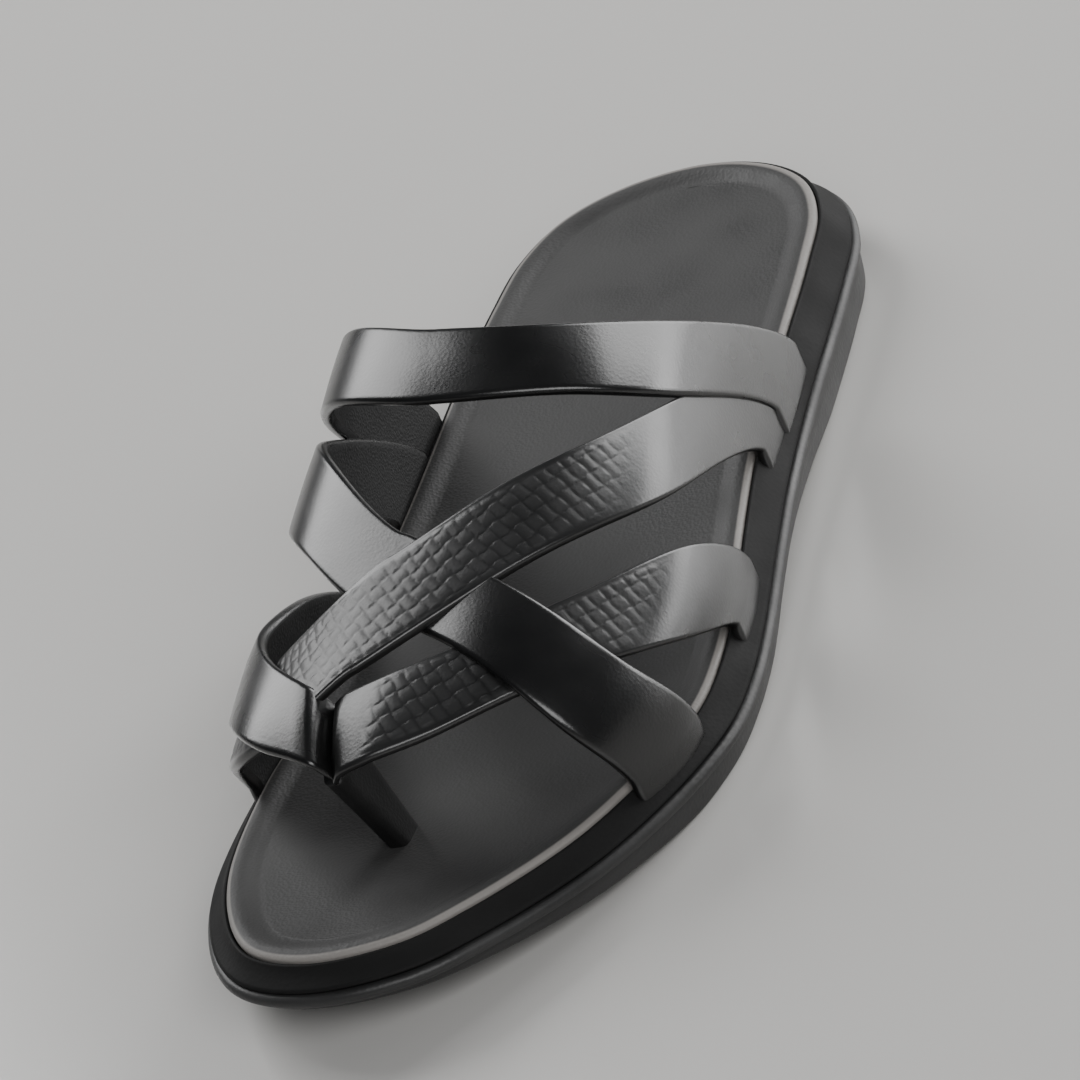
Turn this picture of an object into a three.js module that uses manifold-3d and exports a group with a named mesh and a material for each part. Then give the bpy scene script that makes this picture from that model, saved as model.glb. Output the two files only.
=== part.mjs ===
// A left leather slipper with crossed straps and a toe post, standing on its sole.
// Millimetres, +Z up, the toe points along -Y and the outer side of the foot is +X.
import * as THREE from 'three';
import { mergeVertices } from 'three/addons/utils/BufferGeometryUtils.js';
import Module from 'manifold-3d';

// Main sizes
const BED_LENGTH = 275;        // heel end to toe end of the footbed
const GAP = 0.3;               // air left between neighbouring pieces
const STATIONS = 38;           // stations from heel to toe
const COLUMNS = 8;             // faces from the inner to the outer side of a level
const SMALL = 0.002;           // step along the footbed for a slope
const SMALL_TURN = 0.5;        // step in degrees round the foot form for a slope

// Straps
const STRAP = 2.4;             // leather thickness, folded and glued
const STRAP_CLEAR = 0.6;       // air between the footbed's edge and a strap end
const STRAP_SEAT = STRAP_CLEAR + STRAP / 2;   // middle of a strap, outside the footbed's edge
const TUCK = 0.7;              // share of the midsole's wall that a strap end goes down
const STRAP_STEP = 6;          // most degrees between the sections of a strap
const STRAP_LEAST = 2;         // fewest steps between two rows of a strap's table
const STRAP_COLUMNS = 4;       // faces across a strap
const FORM_POWER = 2.31;       // fullness of the foot form's arch, 2 is an ellipse
const FORM_SHIFT = -5.3;       // how far the crest of the form lies toward the inner side

// Sole
const RIDGE_OUT = 6.6;         // ridge of the outsole beyond the footbed's edge
const FOOT_OUT = 4.2;          // ground edge of the outsole beyond the footbed's edge
const RIDGE_ROUND = 1.5;       // half height of the rounded ridge
const WALL_TOP_OUT = 0.9;      // top of the midsole's wall beyond the footbed's edge
const WALL_TOP_DOWN = 1.3;     // top of the midsole's wall below the rim
const WALL_FOOT_OUT = 5.4;     // foot of the midsole's wall beyond the footbed's edge
const GROUND_ROUND = 1.2;      // rounding at the ground edge
const ROUND_MIDDLE = 0.3;      // where a rounding's middle point lies, as a share of its radius
const ARCH_LIFT = 2.2;         // how far the waist of the sole clears the floor

// Footbed
const BORDER = 6.5;            // width of the raised border
const BORDER_RISE = 1.5;       // height of the border above the bed
const BED_DISH = 0.7;          // hollow of the bed between its borders
const DISH_END = 0.12;         // share of the length over which the hollow fades at heel and toe

// Toe post
const POST_THICK = 4.8;
const POST_TOP_WIDE = 17;
const POST_FOOT_WIDE = 8;
const POST_RAKE = 4.4;         // how far the post's foot lies behind its top
const POST_LEAN = 3;           // how far the post's foot lies outward of its top
const POST_TOP_CLEAR = 0.7;    // drop from the lowest underside of the V to the post
const POST_SEGMENTS = 20;
const POST_LEVELS = 6;

// Section of the footbed's border from the edge inward, as shares of BORDER and BORDER_RISE
const BORDER_SECTION = [
  { inset: 0.00, down: 0.60 },
  { inset: 0.12, down: 0.15 },
  { inset: 0.32, down: 0.00 },
  { inset: 0.62, down: 0.35 },
  { inset: 1.00, down: 1.00 },
];

// Outline of the footbed: half widths either side of the axis
const OUTLINE = [
  { along: 0.000, inner: 0.0, outer: 0.0 },
  { along: 0.015, inner: 18.2, outer: 16.6 },
  { along: 0.050, inner: 30.6, outer: 28.8 },
  { along: 0.100, inner: 36.6, outer: 35.4 },
  { along: 0.170, inner: 38.4, outer: 38.0 },
  { along: 0.420, inner: 38.9, outer: 42.9 },
  { along: 0.660, inner: 44.3, outer: 51.0 },
  { along: 0.740, inner: 47.1, outer: 49.5 },
  { along: 0.860, inner: 44.6, outer: 36.8 },
  { along: 0.950, inner: 33.7, outer: 18.1 },
  { along: 0.985, inner: 24.0, outer: 7.4 },
  { along: 1.000, inner: 9.7, outer: -9.7 },
];

// Side of the sole: bottom, rim of the footbed, depth of the upper wall, thickness of the footbed
const SIDE = [
  { along: 0.00, bottom: 0.0, rim: 21.8, wall: 9.4, bed: 4.6 },
  { along: 0.25, bottom: 0.0, rim: 21.8, wall: 9.4, bed: 4.6 },
  { along: 0.50, bottom: 0.0, rim: 18.2, wall: 8.0, bed: 4.4 },
  { along: 0.60, bottom: 0.0, rim: 16.3, wall: 7.2, bed: 4.2 },
  { along: 0.70, bottom: 0.0, rim: 15.2, wall: 6.8, bed: 4.0 },
  { along: 0.76, bottom: 0.0, rim: 15.6, wall: 6.5, bed: 3.8 },
  { along: 0.85, bottom: 2.8, rim: 16.8, wall: 6.0, bed: 3.6 },
  { along: 0.93, bottom: 6.6, rim: 19.0, wall: 5.7, bed: 3.5 },
  { along: 1.00, bottom: 11.4, rim: 21.9, wall: 5.4, bed: 3.4 },
];

// Lift of the sole's waist, as a share of ARCH_LIFT
const ARCH = [
  { along: 0.00, lift: 0 },
  { along: 0.27, lift: 0 },
  { along: 0.36, lift: 0.7 },
  { along: 0.44, lift: 1 },
  { along: 0.52, lift: 0.7 },
  { along: 0.61, lift: 0 },
  { along: 1.00, lift: 0 },
];

// Height of the foot form's crest above the rim
const CREST = [
  { along: 0.20, height: 62.5 },
  { along: 0.28, height: 62.0 },
  { along: 0.40, height: 60.2 },
  { along: 0.52, height: 54.7 },
  { along: 0.64, height: 46.5 },
  { along: 0.74, height: 37.7 },
  { along: 0.82, height: 31.6 },
  { along: 0.90, height: 22.0 },
];

// Straps, a row per section: around is 0 at the inner edge, 90 over the crest and 180 at the outer edge,
// rear and front are the strap's edges along the footbed, lift is its height over the foot form,
// turn is how many degrees the front edge of a section runs ahead of its rear edge
const INSTEP_BAND = [
  { around: 0, rear: 0.305, front: 0.392, lift: 1.0 },
  { around: 30, rear: 0.392, front: 0.474, lift: 3.2 },
  { around: 60, rear: 0.457, front: 0.532, lift: 2.2 },
  { around: 90, rear: 0.496, front: 0.564, lift: 0.8 },
  { around: 120, rear: 0.484, front: 0.551, lift: 0.6 },
  { around: 150, rear: 0.416, front: 0.498, lift: 1.4 },
  { around: 180, rear: 0.290, front: 0.377, lift: 1.0 },
];
const DIAGONAL_BAND = [
  { around: 0, rear: 0.660, front: 0.752, lift: 0.0 },
  { around: 30, rear: 0.722, front: 0.808, lift: -3.0 },
  { around: 60, rear: 0.744, front: 0.836, lift: -2.2 },
  { around: 78, rear: 0.726, front: 0.832, lift: 0.2 },
  { around: 90, rear: 0.699, front: 0.803, lift: 2.0 },
  { around: 105, rear: 0.656, front: 0.753, lift: 2.5 },
  { around: 120, rear: 0.614, front: 0.702, lift: 2.2 },
  { around: 150, rear: 0.497, front: 0.598, lift: 0.4 },
  { around: 180, rear: 0.322, front: 0.426, lift: 0.0 },
];
const CROSS_BAND = [
  { around: 0, rear: 0.356, front: 0.452, lift: 0.0 },
  { around: 30, rear: 0.484, front: 0.575, lift: 1.7 },
  { around: 60, rear: 0.581, front: 0.666, lift: 0.8 },
  { around: 90, rear: 0.674, front: 0.746, lift: 0.0 },
  { around: 115, rear: 0.728, front: 0.797, lift: 1.9 },
  { around: 150, rear: 0.762, front: 0.832, lift: 1.9 },
  { around: 180, rear: 0.736, front: 0.820, lift: 0.0 },
];
const FRONT_OUTER_ARM = [
  { around: 87.8, rear: 0.818, front: 0.884, lift: -4.0, turn: 5.0 },
  { around: 91.2, rear: 0.814, front: 0.882, lift: 0.8, turn: 4.4 },
  { around: 100, rear: 0.802, front: 0.874, lift: 0.8, turn: 2.0 },
  { around: 114, rear: 0.769, front: 0.854, lift: 0.1, turn: 0.0 },
  { around: 136, rear: 0.706, front: 0.797, lift: 0.0, turn: 0.0 },
  { around: 158, rear: 0.624, front: 0.727, lift: 0.0, turn: 0.0 },
  { around: 180, rear: 0.553, front: 0.633, lift: 0.0, turn: 0.0 },
];
const FRONT_INNER_ARM = [
  { around: 0, rear: 0.527, front: 0.629, lift: 0.0, turn: 0.0 },
  { around: 23, rear: 0.624, front: 0.732, lift: -1.4, turn: 0.0 },
  { around: 46, rear: 0.713, front: 0.806, lift: 0.8, turn: 0.0 },
  { around: 69, rear: 0.782, front: 0.855, lift: 2.0, turn: 2.0 },
  { around: 84.8, rear: 0.811, front: 0.879, lift: 1.9, turn: 6.5 },
  { around: 88.2, rear: 0.816, front: 0.882, lift: -4.0, turn: 5.0 },
];
// The groove between the two front arms, where both turn down to the toe post
const GROOVE = { around: 88, rear: 0.817, front: 0.883, turn: 5, dip: 4.0 };

const wasm = await Module();
wasm.setup();

// A smooth curve through two columns of a table, with no overshoot between rows
function curve(rows, from, to) {
  const at = rows.map((row) => row[from]);
  const value = rows.map((row) => row[to]);
  const slope = at.map((_, i) => {
    if (i === 0 || i === at.length - 1) {
      const j = i === 0 ? 0 : i - 1;
      return (value[j + 1] - value[j]) / (at[j + 1] - at[j]);
    }
    const before = (value[i] - value[i - 1]) / (at[i] - at[i - 1]);
    const after = (value[i + 1] - value[i]) / (at[i + 1] - at[i]);
    return before * after <= 0 ? 0 : (2 * before * after) / (before + after);
  });
  return (v) => {
    let i = 0;
    while (i < at.length - 2 && v > at[i + 1]) i += 1;
    const span = at[i + 1] - at[i];
    const s = THREE.MathUtils.clamp((v - at[i]) / span, 0, 1);
    const s2 = s * s;
    const s3 = s2 * s;
    return value[i] * (2 * s3 - 3 * s2 + 1) + slope[i] * span * (s3 - 2 * s2 + s)
      + value[i + 1] * (3 * s2 - 2 * s3) + slope[i + 1] * span * (s3 - s2);
  };
}

const innerAt = curve(OUTLINE, 'along', 'inner');
const outerAt = curve(OUTLINE, 'along', 'outer');
const bottomAt = curve(SIDE, 'along', 'bottom');
const rimAt = curve(SIDE, 'along', 'rim');
const wallAt = curve(SIDE, 'along', 'wall');
const bedAt = curve(SIDE, 'along', 'bed');
const archAt = curve(ARCH, 'along', 'lift');
const crestAt = curve(CREST, 'along', 'height');
const ridgeAt = (along) => rimAt(along) - wallAt(along);
const bedFloorAt = (along) => rimAt(along) - bedAt(along);

// The footbed's outline as a loop: forward along the inner side, back along the outer side
function outlineLoop() {
  const place = (x, along) => new THREE.Vector3(x, -along * BED_LENGTH, 0);
  const forward = OUTLINE.map((row) => place(-row.inner, row.along));
  const back = OUTLINE.slice(1, -1).reverse().map((row) => place(row.outer, row.along));
  const edge = new THREE.CatmullRomCurve3([...forward, ...back], true, 'centripetal');
  const toe = (OUTLINE.length - 1) / (forward.length + back.length);
  const count = 2 * STATIONS;
  const loop = [];
  for (let i = 0; i < count; i += 1) {
    const share = i <= STATIONS ? (toe * i) / STATIONS : toe + ((1 - toe) * (i - STATIONS)) / STATIONS;
    const { x, y } = edge.getPoint(share);
    loop.push({ along: THREE.MathUtils.clamp(-y / BED_LENGTH, 0, 1), x, y });
  }
  loop.forEach((point, i) => {
    const next = loop[(i + 1) % count];
    const last = loop[(i + count - 1) % count];
    const tangent = new THREE.Vector2(next.x - last.x, next.y - last.y).normalize();
    point.outX = tangent.y;
    point.outY = -tangent.x;
  });
  return loop;
}
const LOOP = outlineLoop();

// A ring round the shoe at a distance outside the outline, its height a function of the fraction along
function ring(out, heightAt) {
  return LOOP.map((p) => new THREE.Vector3(p.x + out * p.outX, p.y + out * p.outY, heightAt(p.along)));
}

// A closed body through rings from bottom to top, with level faces across the first and the last ring
function ringBody(rings, floorAcross, topAcross) {
  const count = LOOP.length;
  const points = rings.flat();
  const faces = [];
  for (let r = 0; r < rings.length - 1; r += 1) {
    for (let i = 0; i < count; i += 1) {
      const a = r * count + i;
      const b = r * count + ((i + 1) % count);
      faces.push([a, b, a + count], [b, b + count, a + count]);
    }
  }
  const cap = (start, across, up) => {
    const rows = [];
    for (let i = 0; i <= STATIONS; i += 1) {
      const inner = start + i;
      const outer = start + ((count - i) % count);
      if (i === 0 || i === STATIONS) {
        rows.push(Array(COLUMNS + 1).fill(inner));
      } else {
        const row = [inner];
        for (let j = 1; j < COLUMNS; j += 1) {
          const share = j / COLUMNS;
          const point = points[inner].clone().lerp(points[outer], share);
          point.z += across(LOOP[i].along, 2 * share - 1);
          row.push(points.push(point) - 1);
        }
        row.push(outer);
        rows.push(row);
      }
    }
    for (let i = 0; i < STATIONS; i += 1) {
      for (let j = 0; j < COLUMNS; j += 1) {
        const quad = [rows[i][j], rows[i][j + 1], rows[i + 1][j + 1], rows[i + 1][j]];
        const [a, b, c, d] = up ? quad.reverse() : quad;
        [[a, b, c], [a, c, d]].forEach((face) => {
          if (new Set(face).size === 3) faces.push(face);
        });
      }
    }
  };
  cap(0, floorAcross, false);
  cap((rings.length - 1) * count, topAcross, true);
  return { points, faces };
}

const level = () => 0;

function solid({ points, faces }) {
  const shape = new THREE.BufferGeometry();
  shape.setAttribute('position', new THREE.Float32BufferAttribute(points.flatMap((p) => [p.x, p.y, p.z]), 3));
  shape.setIndex(faces.flat());
  const merged = mergeVertices(shape, 1e-5);
  const body = new wasm.Manifold(new wasm.Mesh({
    numProp: 3,
    vertProperties: new Float32Array(merged.attributes.position.array),
    triVerts: new Uint32Array(merged.index.array),
  }));
  return body;
}

// Half width of the foot form at its base, where a strap clears the footbed's slanting edge
function seatAt(halfAt, along) {
  const slant = (halfAt(along + SMALL) - halfAt(along - SMALL)) / (2 * SMALL * BED_LENGTH);
  return halfAt(along) + STRAP_SEAT * Math.hypot(1, slant);
}

// The foot form that the straps lie on: an arch over the footbed at each fraction along
function formPoint(around, along) {
  const angle = THREE.MathUtils.degToRad(THREE.MathUtils.clamp(around, 0, 180));
  const innerX = -seatAt(innerAt, along);
  const outerX = seatAt(outerAt, along);
  const middle = (innerX + outerX) / 2 + FORM_SHIFT;
  const reach = Math.abs(Math.cos(angle)) ** (2 / FORM_POWER);
  const rise = Math.abs(Math.sin(angle)) ** (2 / FORM_POWER);
  const side = Math.cos(angle) > 0 ? innerX : outerX;
  return new THREE.Vector3(middle + (side - middle) * reach, -along * BED_LENGTH,
    rimAt(along) + crestAt(along) * rise);
}

function formNormal(around, along) {
  const turn = THREE.MathUtils.clamp(around, SMALL_TURN, 180 - SMALL_TURN);
  const sideways = formPoint(turn + SMALL_TURN, along).sub(formPoint(turn - SMALL_TURN, along));
  const forward = formPoint(turn, along + SMALL).sub(formPoint(turn, along - SMALL));
  return forward.cross(sideways).normalize();
}

// A strap from its table: a slab of even thickness over the foot form, its rim ends going down beside the bed.
// Spare widens it all round, for the slots that it needs in the sole.
function strap(rows, spare = 0) {
  const rearAt = curve(rows, 'around', 'rear');
  const frontAt = curve(rows, 'around', 'front');
  const liftAt = curve(rows, 'around', 'lift');
  const turnAt = 'turn' in rows[0] ? curve(rows, 'around', 'turn') : level;
  const half = STRAP / 2 + spare;
  const spareAlong = spare / BED_LENGTH;
  const sections = [];
  const section = (around, tuck) => {
    const upper = [];
    const lower = [];
    for (let j = 0; j <= STRAP_COLUMNS; j += 1) {
      const share = j / STRAP_COLUMNS;
      const rear = rearAt(around) - spareAlong;
      const front = frontAt(around) + spareAlong;
      const along = rear + (front - rear) * share;
      const turned = around + turnAt(around) * (share - 0.5);
      const middle = formPoint(turned, along);
      const normal = formNormal(turned, along);
      if (tuck > 0) middle.z -= tuck * wallAt(along) + spare;
      upper.push(middle.clone().addScaledVector(normal, liftAt(around) + half));
      lower.push(middle.clone().addScaledVector(normal, liftAt(around) - half));
    }
    return [...upper, ...lower.reverse()];
  };
  const first = rows[0].around;
  const last = rows[rows.length - 1].around;
  if (first === 0) sections.push(section(first, TUCK));
  sections.push(section(first, 0));
  for (let r = 1; r < rows.length; r += 1) {
    const from = rows[r - 1].around;
    const span = rows[r].around - from;
    const steps = Math.max(STRAP_LEAST, Math.ceil(span / STRAP_STEP));
    for (let i = 1; i <= steps; i += 1) sections.push(section(from + (span * i) / steps, 0));
  }
  if (last === 180) sections.push(section(last, TUCK));
  const count = sections[0].length;
  const faces = [];
  for (let s = 0; s < sections.length - 1; s += 1) {
    for (let i = 0; i < count; i += 1) {
      const a = s * count + i;
      const b = s * count + ((i + 1) % count);
      faces.push([a, b, a + count], [b, b + count, a + count]);
    }
  }
  for (let j = 0; j < STRAP_COLUMNS; j += 1) {
    const [a, b, c, d] = [j, j + 1, count - 2 - j, count - 1 - j];
    const [e, f, g, h] = [a, b, c, d].map((i) => i + (sections.length - 1) * count);
    faces.push([a, c, b], [a, d, c], [e, f, g], [e, g, h]);
  }
  return solid({ points: sections.flat(), faces });
}

const STRAPS = [INSTEP_BAND, DIAGONAL_BAND, CROSS_BAND, FRONT_OUTER_ARM, FRONT_INNER_ARM];
const joined = (bodies) => bodies.reduce((sum, body) => sum.add(body));
const upper = joined(STRAPS.map((rows) => strap(rows)));
const strapSlots = joined(STRAPS.map((rows) => strap(rows, GAP)));

// The toe post: rounded levels from the midsole up to the underside of the groove, tapering to its foot
function toePost(spare) {
  const rearEnd = formPoint(GROOVE.around - GROOVE.turn / 2, GROOVE.rear);
  const frontEnd = formPoint(GROOVE.around + GROOVE.turn / 2, GROOVE.front);
  const top = rearEnd.clone().lerp(frontEnd, 0.5);
  const slope = (frontEnd.z - rearEnd.z) / (frontEnd.y - rearEnd.y);
  const footFront = (-top.y - POST_RAKE + POST_FOOT_WIDE / 2) / BED_LENGTH;
  const floor = bedFloorAt(footFront) + GAP;
  const topZ = top.z - (GROOVE.dip + STRAP / 2) * Math.hypot(1, slope) - POST_TOP_CLEAR;
  const points = [];
  const faces = [];
  for (let n = 0; n <= POST_LEVELS; n += 1) {
    const share = n / POST_LEVELS;
    const wide = THREE.MathUtils.lerp(POST_FOOT_WIDE, POST_TOP_WIDE, share) / 2 + spare;
    const thick = POST_THICK / 2 + spare;
    for (let i = 0; i < POST_SEGMENTS; i += 1) {
      const angle = (2 * Math.PI * i) / POST_SEGMENTS;
      const across = Math.sign(Math.cos(angle)) * Math.sqrt(Math.abs(Math.cos(angle))) * thick;
      const lengthways = Math.sign(Math.sin(angle)) * Math.sqrt(Math.abs(Math.sin(angle))) * wide;
      const rise = share * (topZ + slope * lengthways - floor);
      points.push(new THREE.Vector3(top.x + POST_LEAN * (1 - share) + across,
        top.y + POST_RAKE * (1 - share) + lengthways, floor - spare + rise));
    }
  }
  const lowest = points.push(new THREE.Vector3(top.x + POST_LEAN, top.y + POST_RAKE, floor - spare)) - 1;
  const highest = points.push(new THREE.Vector3(top.x, top.y, topZ - spare)) - 1;
  for (let i = 0; i < POST_SEGMENTS; i += 1) {
    const next = (i + 1) % POST_SEGMENTS;
    for (let n = 0; n < POST_LEVELS; n += 1) {
      const a = n * POST_SEGMENTS + i;
      const b = n * POST_SEGMENTS + next;
      faces.push([a, b, b + POST_SEGMENTS], [a, b + POST_SEGMENTS, a + POST_SEGMENTS]);
    }
    faces.push([lowest, next, i]);
    faces.push([highest, POST_LEVELS * POST_SEGMENTS + i, POST_LEVELS * POST_SEGMENTS + next]);
  }
  return solid({ points, faces });
}

// Outsole: rounded ground edge, side leaning out to the ridge, level seat for the midsole
const groundAt = (along) => bottomAt(along) + ARCH_LIFT * archAt(along);
const outsole = solid(ringBody([
  ring(FOOT_OUT - GROUND_ROUND, groundAt),
  ring(FOOT_OUT - GROUND_ROUND * ROUND_MIDDLE, (t) => groundAt(t) + GROUND_ROUND * ROUND_MIDDLE),
  ring(FOOT_OUT, (t) => groundAt(t) + GROUND_ROUND),
  ring(RIDGE_OUT - RIDGE_ROUND, (t) => ridgeAt(t) - RIDGE_ROUND * 2),
  ring(RIDGE_OUT - RIDGE_ROUND * ROUND_MIDDLE, (t) => ridgeAt(t) - RIDGE_ROUND * (2 - ROUND_MIDDLE)),
  ring(RIDGE_OUT, (t) => ridgeAt(t) - RIDGE_ROUND),
  ring(RIDGE_OUT - RIDGE_ROUND * ROUND_MIDDLE, (t) => ridgeAt(t) - RIDGE_ROUND * ROUND_MIDDLE),
  ring(RIDGE_OUT - RIDGE_ROUND, ridgeAt),
], level, level));

// Midsole: a tray with a slanting wall, slotted where the strap ends go down
const midsole = solid(ringBody([
  ring(WALL_FOOT_OUT - GAP, (t) => ridgeAt(t) + GAP),
  ring(WALL_FOOT_OUT, (t) => ridgeAt(t) + 2 * GAP),
  ring((WALL_FOOT_OUT + WALL_TOP_OUT) / 2, (t) => (ridgeAt(t) + rimAt(t) - WALL_TOP_DOWN) / 2),
  ring(WALL_TOP_OUT, (t) => rimAt(t) - WALL_TOP_DOWN),
  ring(GAP, (t) => rimAt(t) - WALL_TOP_DOWN),
  ring(GAP, (t) => bedFloorAt(t)),
], level, level)).subtract(strapSlots);

// Footbed: a rounded border round a dished bed
const dish = (along, across) => -BED_DISH * (1 - across ** 4)
  * Math.min(1, along / DISH_END, (1 - along) / DISH_END);
const footbed = solid(ringBody([
  ring(-GAP, (t) => bedFloorAt(t) + GAP),
  ring(0, (t) => bedFloorAt(t) + 2 * GAP),
  ...BORDER_SECTION.map(({ inset, down }) => ring(-BORDER * inset, (t) => rimAt(t) - BORDER_RISE * down)),
], level, dish)).subtract(toePost(GAP));

// The finished model: each body named and coloured, the base centred on the origin
const PIECES = [
  { name: 'outsole', body: outsole, colour: 0x232325, roughness: 0.62 },
  { name: 'midsole', body: midsole, colour: 0x2b2c2e, roughness: 0.6 },
  { name: 'footbed', body: footbed, colour: 0x4a4a4d, roughness: 0.75 },
  { name: 'upper', body: upper, colour: 0x161618, roughness: 0.3 },
  { name: 'toe_post', body: toePost(0), colour: 0x141415, roughness: 0.45 },
];
const slipper = new THREE.Group();
PIECES.forEach(({ name, body, colour, roughness }) => {
  const { vertProperties, triVerts } = body.getMesh();
  const shape = new THREE.BufferGeometry();
  shape.setAttribute('position', new THREE.Float32BufferAttribute(vertProperties, 3));
  shape.setIndex(Array.from(triVerts));
  shape.computeVertexNormals();
  const mesh = new THREE.Mesh(shape, new THREE.MeshStandardMaterial({ color: colour, roughness, metalness: 0 }));
  mesh.name = name;
  slipper.add(mesh);
});
const box = new THREE.Box3().setFromObject(slipper);
slipper.position.set(-(box.min.x + box.max.x) / 2, -(box.min.y + box.max.y) / 2, -box.min.z);

export default slipper;
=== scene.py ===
"""A left leather slipper with crossed straps and a toe post, on a pale floor.

Lengths are millimetres in the slipper's own frame: the heel end of the footbed is at y = 0, the toe points
along -y and the outer side of the foot is +x. SHIFT takes that frame to the shared one, which is in metres.
Along is a fraction of the footbed's length from the heel. Around is in degrees over the foot, from 0 at the
inner edge of the footbed to 180 at its outer edge.
"""
import math

import bpy
import numpy as np
from mathutils import Matrix, Vector


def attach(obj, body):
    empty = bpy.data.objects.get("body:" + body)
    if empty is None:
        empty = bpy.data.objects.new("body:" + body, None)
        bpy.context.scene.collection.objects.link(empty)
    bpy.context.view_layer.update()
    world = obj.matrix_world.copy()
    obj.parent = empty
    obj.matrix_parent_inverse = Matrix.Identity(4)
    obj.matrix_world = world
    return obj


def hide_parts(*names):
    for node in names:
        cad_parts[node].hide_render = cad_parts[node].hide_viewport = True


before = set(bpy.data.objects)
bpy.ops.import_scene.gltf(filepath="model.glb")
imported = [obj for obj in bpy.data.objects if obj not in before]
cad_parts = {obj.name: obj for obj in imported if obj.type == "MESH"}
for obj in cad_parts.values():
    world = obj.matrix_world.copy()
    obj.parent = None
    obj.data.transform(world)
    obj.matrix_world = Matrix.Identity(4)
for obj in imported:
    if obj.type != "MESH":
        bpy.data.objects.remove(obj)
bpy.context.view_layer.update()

# Length of the footbed, way from the slipper's frame to the shared one, gap between pieces of the sole,
# and millimetres in a metre and in a centimetre
BED = 275.0
SHIFT = np.array([-1.9638, 137.4997, 0.0])
GAP = 0.3
MM_IN_M, MM_IN_CM = 1000, 10

# Foot form under the straps: power of its superellipse arch, move of its crest toward the inner side
FORM_POWER = 2.31
FORM_SHIFT = -5.3
# Steps of the central differences on the form: fraction along, degrees around, degrees kept off its two edges
ALONG_STEP, TURN_STEP, TURN_MARGIN = 0.002, 0.5, 0.6

# Outsole: how far its ridge and its foot stand out from the footbed's edge, their roundings, points on those
RIDGE_OUT, RIDGE_ROUND, RIDGE_POINTS = 6.6, 1.5, 12
FOOT_OUT, FOOT_ROUND, FOOT_POINTS = 4.2, 1.2, 6
# Bulge of its side: outward, at which share of the height, and how much above that
SIDE_BULGE, SIDE_LEVEL, SIDE_RISE = 0.5, 0.4, 0.5
# Fold under the ridge: inward from the centre of the ridge's rounding, and below its lower end
FOLD_IN, FOLD_DOWN = 0.2, 0.35
# Most that the waist lifts off the floor
ARCH_LIFT = 2.2

# Tread grooves: distance apart, depth, and how many pitches they run back toward the heel at the sides
TREAD_PITCH, TREAD_DEEP, TREAD_SWEEP = 11.0, 1.0, 0.6
# Cosine where a groove starts, and how much more gives its full depth
TREAD_START, TREAD_RISE = 0.3, 0.4
# Shares of the half width and of the length over which the grooves fade out
TREAD_SIDE_FADE, TREAD_END_FADE = 0.12, 0.05

# Midsole wall: how far its foot and its top stand out, and how far its top lies under the rim
WALL_FOOT_OUT, WALL_TOP_OUT, WALL_TOP_DOWN = 5.4, 0.9, 1.3
# Rounding of its foot, lip along foot and top, hollow of its face, and levels of the rings on the face
WALL_ROUND, WALL_LIP, WALL_HOLLOW = 0.6, 0.1, 0.5
WALL_LEVELS = np.linspace(0.12, 0.92, 8)

# Hollow of the footbed: depth, and share of the length over which it fades out at heel and toe
BED_DISH, BED_FADE = 0.7, 0.16
# Raised border of the footbed: how far its upright side starts below the rim, then width, height and points
# of its rounded nose and of its inner slope
BORDER_DEEP = 1.6
NOSE_WIDE, NOSE_HIGH, NOSE_POINTS = 2.3, 1.1, 8
SLOPE_WIDE, SLOPE_HIGH, SLOPE_POINTS = 5.3, 1.5, 22
# Pale edge of the footbed, wider toward the heel: fraction along where that starts, and the share that is
# taken off the distance inside the outline at the heel's end
HEEL_EDGE, HEEL_LESS = 0.3, 0.45
# Points across a body count as this far inside their ring
CAP_INSET = 5.0

# Outline of the footbed: fraction along, inner half width, outer half width
OUTLINE = np.array([
    (0.000, 0.0, 0.0), (0.015, 18.2, 16.6), (0.050, 30.6, 28.8), (0.100, 36.6, 35.4),
    (0.170, 38.4, 38.0), (0.420, 38.9, 42.9), (0.660, 44.3, 51.0), (0.740, 47.1, 49.5),
    (0.860, 44.6, 36.8), (0.950, 33.7, 18.1), (0.985, 24.0, 7.4), (1.000, 9.7, -9.7)])

# Side of the sole: fraction along, bottom, rim, depth of the upper wall, thickness of the footbed
SIDE = np.array([
    (0.00, 0.0, 21.8, 9.4, 4.6), (0.25, 0.0, 21.8, 9.4, 4.6), (0.50, 0.0, 18.2, 8.0, 4.4),
    (0.60, 0.0, 16.3, 7.2, 4.2), (0.70, 0.0, 15.2, 6.8, 4.0), (0.76, 0.0, 15.6, 6.5, 3.8),
    (0.85, 2.8, 16.8, 6.0, 3.6), (0.93, 6.6, 19.0, 5.7, 3.5), (1.00, 11.4, 21.9, 5.4, 3.4)])

# Lift of the sole's waist: fraction along, share of ARCH_LIFT
ARCH = np.array([
    (0.0, 0.0), (0.27, 0.0), (0.36, 0.7), (0.44, 1.0), (0.52, 0.7), (0.61, 0.0), (1.0, 0.0)])

# Crest of the foot form: fraction along, height above the rim
CREST = np.array([
    (0.20, 62.5), (0.28, 62.0), (0.40, 60.2), (0.52, 54.7),
    (0.64, 46.5), (0.74, 37.7), (0.82, 31.6), (0.90, 22.0)])

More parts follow.
